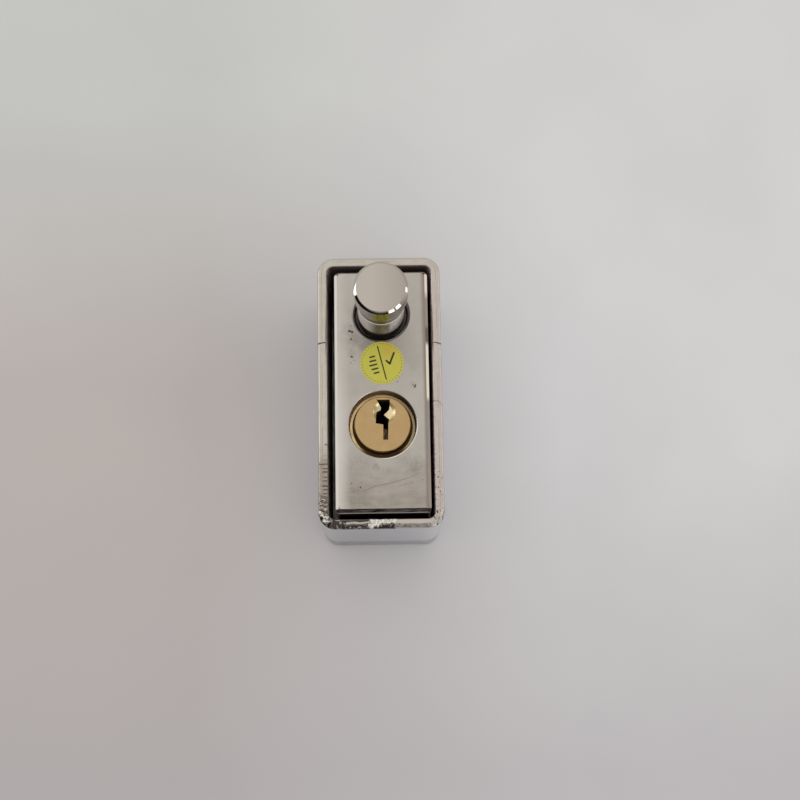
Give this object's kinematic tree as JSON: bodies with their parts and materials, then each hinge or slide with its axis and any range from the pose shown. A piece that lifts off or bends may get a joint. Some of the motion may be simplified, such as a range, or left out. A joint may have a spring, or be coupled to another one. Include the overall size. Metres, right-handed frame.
{
  "type": "cabinet push lock",
  "caption": "Cabinet push lock: a keyed brass cylinder and a spring-loaded push plunger in a satin lock body, inside a chrome-plated rectangular steel sleeve.",
  "frame": {"origin": "middle of the sleeve's back edge, on the plane that the lock stands on", "axes": "+X to the right across the face, +Y up the face from the key cylinder to the plunger, +Z out of the face, the way the plunger stands out"},
  "size_m": [0.028, 0.0622, 0.0576],
  "materials": {
    "sleeve_chrome": "bright plated",
    "body_satin_chrome": "satin",
    "plunger_chrome": "polished",
    "brass": "turned",
    "plated_steel": "zinc plated",
    "spring_steel": "drawn wire",
    "label": "printed sticker"
  },
  "bodies": {
    "case": {"armour_sleeve": "sleeve_chrome", "lock_body": "body_satin_chrome", "back_plate": "plated_steel", "cover_screws": "plated_steel", "rear_bush": "brass", "return_spring": "spring_steel", "cylinder_housing": "brass", "driver_pins": "brass", "pin_springs": "spring_steel", "chamber_plugs": "brass", "cylinder_set_screw": "plated_steel", "latch_spring": "spring_steel", "inspection_label": "label"},
    "plunger": {"plunger_bolt": "plunger_chrome", "plunger_cap": "plunger_chrome", "bolt_clip": "spring_steel"},
    "plug": {"key_plug": "brass", "key_pins": "brass", "release_cam": "plated_steel", "cam_screw": "plated_steel", "plug_ring": "spring_steel"},
    "latch": {"latch_slide": "plated_steel"}
  },
  "joints": [
    {"name": "plunger_push", "type": "slide", "parent": "case", "child": "plunger", "axis": [0, 0, -1], "range_m": [0, 0.014], "stiffness_N_per_m": 400, "springref_m": -0.0075, "deforming": ["return_spring"]},
    {"name": "key_turn", "type": "hinge", "parent": "case", "child": "plug", "pos_m": [0.00045, -0.00775, 0], "axis": [0, 0, -1], "range_deg": [0, 90]},
    {"name": "latch_draw", "type": "slide", "parent": "case", "child": "latch", "axis": [0, -1, 0], "range_m": [0, 0.0022], "stiffness_N_per_m": 250, "springref_m": -0.004, "deforming": ["latch_spring"]}
  ],
  "couplings": [
    {"joint": "key_turn", "follows": "latch_draw", "rad_per_m": 714}
  ]
}
